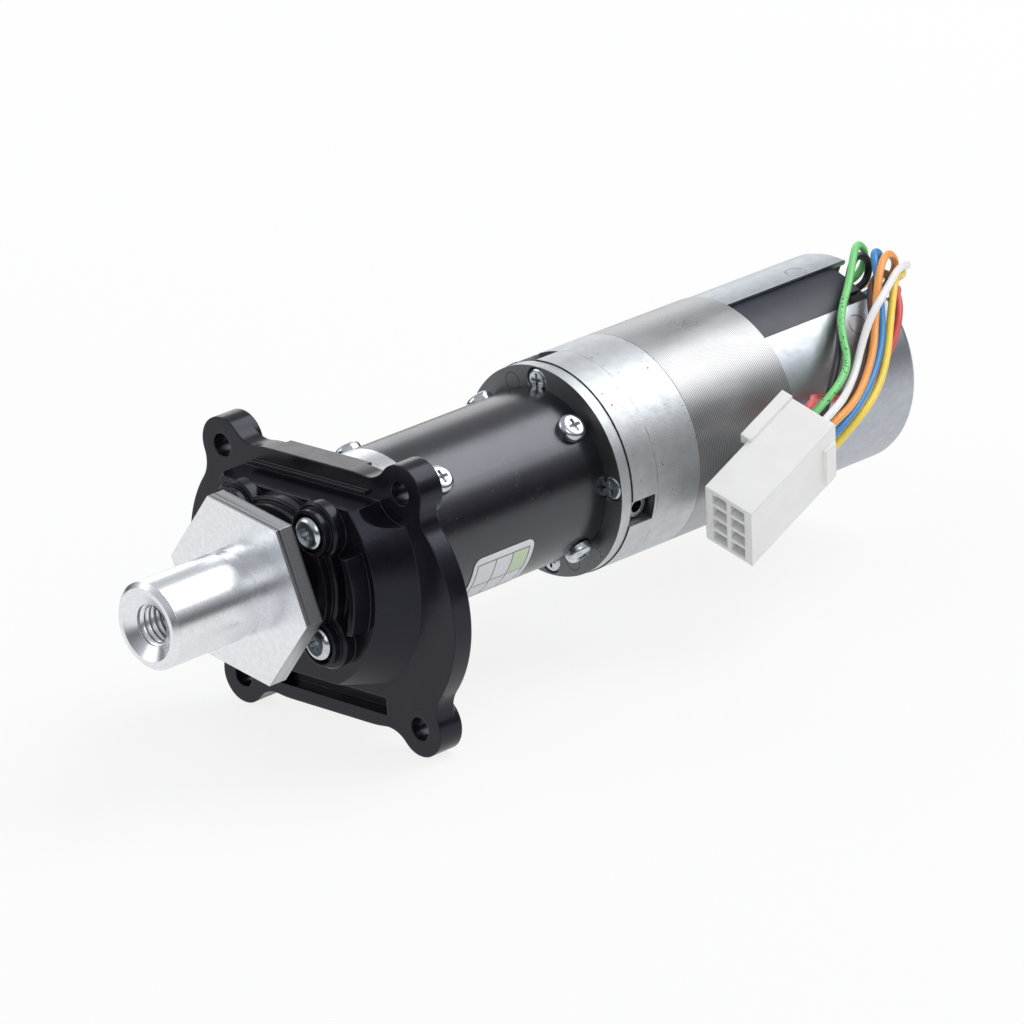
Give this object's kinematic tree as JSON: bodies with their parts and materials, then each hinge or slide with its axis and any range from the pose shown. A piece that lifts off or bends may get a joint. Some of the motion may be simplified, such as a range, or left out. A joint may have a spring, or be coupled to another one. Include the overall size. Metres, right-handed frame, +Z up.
{
  "type": "wheel motor",
  "caption": "Brushless gear motor with a planetary gearbox, a mounting flange with ears, and a hexagon hub with a threaded nose that drives a mower's wheel; its wires end in a plug.",
  "frame": {"origin": "on the motor axis, in the front face of the mounting flange's ears", "axes": "+Y along the motor axis from the hub to the motor's rear, +Z up with the four ears upright, +X to the side that the plug lies on"},
  "size_m": [0.0739, 0.1905, 0.0572],
  "materials": {
    "black_plastic": "satin",
    "zinc_screw": "satin",
    "machined_aluminium": "machined",
    "turned_aluminium": "turned",
    "black_tube": "satin",
    "steel": "ground",
    "bearing_steel": "polished",
    "rubber": "matt",
    "label": "satin",
    "cast_metal": "cast",
    "gear_steel": "satin",
    "ring_steel": "turned",
    "zinc_sleeve": "zinc plated",
    "grey_plastic": "satin",
    "core_steel": "stacked",
    "copper": "enamelled",
    "board": "satin",
    "sensor": "satin",
    "magnet": "ground",
    "white_plastic": "satin",
    "tin": "tinned",
    "wire_green": "satin",
    "wire_black": "satin",
    "wire_blue": "satin",
    "wire_brown": "satin",
    "wire_orange": "satin",
    "wire_red": "satin",
    "wire_yellow": "satin",
    "wire_white": "satin"
  },
  "bodies": {
    "housing": {"mounting_flange": "black_plastic", "flange_screws": "zinc_screw", "front_cap": "turned_aluminium", "gearbox_tube": "black_tube", "front_tube_screws": "zinc_screw", "rear_tube_screws": "zinc_screw", "rating_label": "label", "front_bearing_outer": "bearing_steel", "rear_bearing_outer": "bearing_steel", "gearbox_front_plate": "cast_metal", "bearing_circlip": "steel", "plate_screws": "zinc_screw", "cast_housing": "cast_metal", "locating_pins": "steel", "ring_gear": "ring_steel", "motor_adapter": "turned_aluminium", "motor_sleeve": "zinc_sleeve", "slot_cover": "grey_plastic", "stator_core": "core_steel", "stator_coils": "copper", "hall_board": "board", "hall_sensors": "sensor", "board_screws": "zinc_screw", "rear_end_bell": "grey_plastic", "wire_grommet": "rubber", "motor_bearing_outers": "bearing_steel", "connector_housing": "white_plastic", "connector_contacts": "tin", "wire_green": "wire_green", "wire_black": "wire_black", "wire_blue": "wire_blue", "wire_brown": "wire_brown", "wire_orange": "wire_orange", "wire_red": "wire_red", "wire_yellow": "wire_yellow", "wire_white": "wire_white"},
    "output": {"output_hub": "machined_aluminium", "output_shaft": "steel", "hub_key": "steel", "shaft_seal": "rubber", "front_bearing_inner": "bearing_steel", "rear_bearing_inner": "bearing_steel", "output_carrier": "gear_steel", "output_carrier_pins": "steel"},
    "first_carrier": {"first_carrier": "gear_steel", "first_carrier_pins": "steel", "second_sun": "gear_steel"},
    "rotor": {"rotor_shaft": "steel", "rotor_core": "core_steel", "rotor_magnet": "magnet", "first_sun": "gear_steel", "motor_bearing_inners": "bearing_steel"},
    "output_planet_1": {"output_planet_1": "gear_steel"},
    "first_planet_1": {"first_planet_1": "gear_steel"},
    "output_planet_2": {"output_planet_2": "gear_steel"},
    "first_planet_2": {"first_planet_2": "gear_steel"},
    "output_planet_3": {"output_planet_3": "gear_steel"},
    "first_planet_3": {"first_planet_3": "gear_steel"}
  },
  "joints": [
    {"name": "output_spin", "type": "hinge", "parent": "housing", "child": "output", "pos_m": [0, 0, 0], "axis": [0, 1, 0], "continuous": true},
    {"name": "first_carrier_spin", "type": "hinge", "parent": "housing", "child": "first_carrier", "pos_m": [0, 0.0937, 0], "axis": [0, 1, 0], "continuous": true},
    {"name": "rotor_spin", "type": "hinge", "parent": "housing", "child": "rotor", "pos_m": [0, 0.115, 0], "axis": [0, 1, 0], "continuous": true},
    {"name": "output_planet_1_spin", "type": "hinge", "parent": "output", "child": "output_planet_1", "pos_m": [0, 0.0865, -0.0105], "axis": [0, 1, 0], "continuous": true},
    {"name": "first_planet_1_spin", "type": "hinge", "parent": "first_carrier", "child": "first_planet_1", "pos_m": [0, 0.0975, -0.0105], "axis": [0, 1, 0], "continuous": true},
    {"name": "output_planet_2_spin", "type": "hinge", "parent": "output", "child": "output_planet_2", "pos_m": [-0.00909, 0.0865, 0.00525], "axis": [0, 1, 0], "continuous": true},
    {"name": "first_planet_2_spin", "type": "hinge", "parent": "first_carrier", "child": "first_planet_2", "pos_m": [-0.00909, 0.0975, 0.00525], "axis": [0, 1, 0], "continuous": true},
    {"name": "output_planet_3_spin", "type": "hinge", "parent": "output", "child": "output_planet_3", "pos_m": [0.00909, 0.0865, 0.00525], "axis": [0, 1, 0], "continuous": true},
    {"name": "first_planet_3_spin", "type": "hinge", "parent": "first_carrier", "child": "first_planet_3", "pos_m": [0.00909, 0.0975, 0.00525], "axis": [0, 1, 0], "continuous": true}
  ],
  "couplings": [
    {"joint": "first_carrier_spin", "follows": "output_spin", "ratio": 5},
    {"joint": "rotor_spin", "follows": "output_spin", "ratio": 25},
    {"joint": "output_planet_1_spin", "follows": "output_spin", "ratio": -2.6667},
    {"joint": "first_planet_1_spin", "follows": "output_spin", "ratio": -13.333},
    {"joint": "output_planet_2_spin", "follows": "output_spin", "ratio": -2.6667},
    {"joint": "first_planet_2_spin", "follows": "output_spin", "ratio": -13.333},
    {"joint": "output_planet_3_spin", "follows": "output_spin", "ratio": -2.6667},
    {"joint": "first_planet_3_spin", "follows": "output_spin", "ratio": -13.333}
  ]
}
